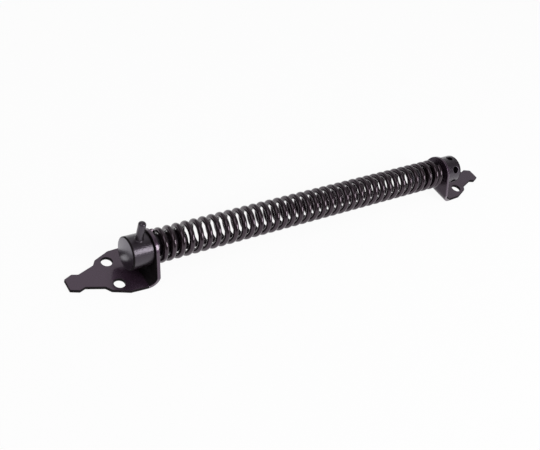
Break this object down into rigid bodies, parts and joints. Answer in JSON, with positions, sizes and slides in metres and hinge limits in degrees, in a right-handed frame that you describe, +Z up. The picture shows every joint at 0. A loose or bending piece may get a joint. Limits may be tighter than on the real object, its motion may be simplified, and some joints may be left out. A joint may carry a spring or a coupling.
{
  "type": "gate spring",
  "caption": "Torsion gate spring: an open left-hand coil between two folded screw-on brackets, with a pinned hub at the post end and a winding collar with bar holes at the gate end.",
  "frame": {"origin": "under the middle of the spring, on the plane of the undersides of the two bracket leaves", "axes": "+X along the spring from the post bracket to the gate bracket, +Z up out of the leaves"},
  "size_m": [0.4, 0.04, 0.046],
  "materials": {
    "bracket_coat": "black semi-gloss powder coat on steel plate",
    "fitting_coat": "black semi-gloss powder coat on turned steel",
    "spring_coat": "black gloss coat on spring steel wire"
  },
  "bodies": {
    "post_side": {"post_bracket": "bracket_coat"},
    "hub_and_spring": {"fixed_hub": "fitting_coat", "hub_stop_pin": "fitting_coat", "coil_spring": "spring_coat"},
    "winding_collar": {"adjusting_collar": "fitting_coat"},
    "gate_side": {"gate_bracket": "bracket_coat"}
  },
  "joints": [
    {"name": "hub_turn", "type": "hinge", "parent": "post_side", "child": "hub_and_spring", "pos_m": [-0.1435, 0, 0.01851], "axis": [1, 0, 0], "range_deg": [-121, 121]},
    {"name": "spring_wind", "type": "hinge", "parent": "hub_and_spring", "child": "winding_collar", "pos_m": [0.1435, 0, 0.01851], "axis": [-1, 0, 0], "range_deg": [0, 170], "stiffness_Nm_per_rad": 1.38, "deforming": ["coil_spring"]},
    {"name": "gate_swing", "type": "hinge", "parent": "winding_collar", "child": "gate_side", "pos_m": [0.1435, 0, 0.01851], "axis": [1, 0, 0], "continuous": true}
  ]
}
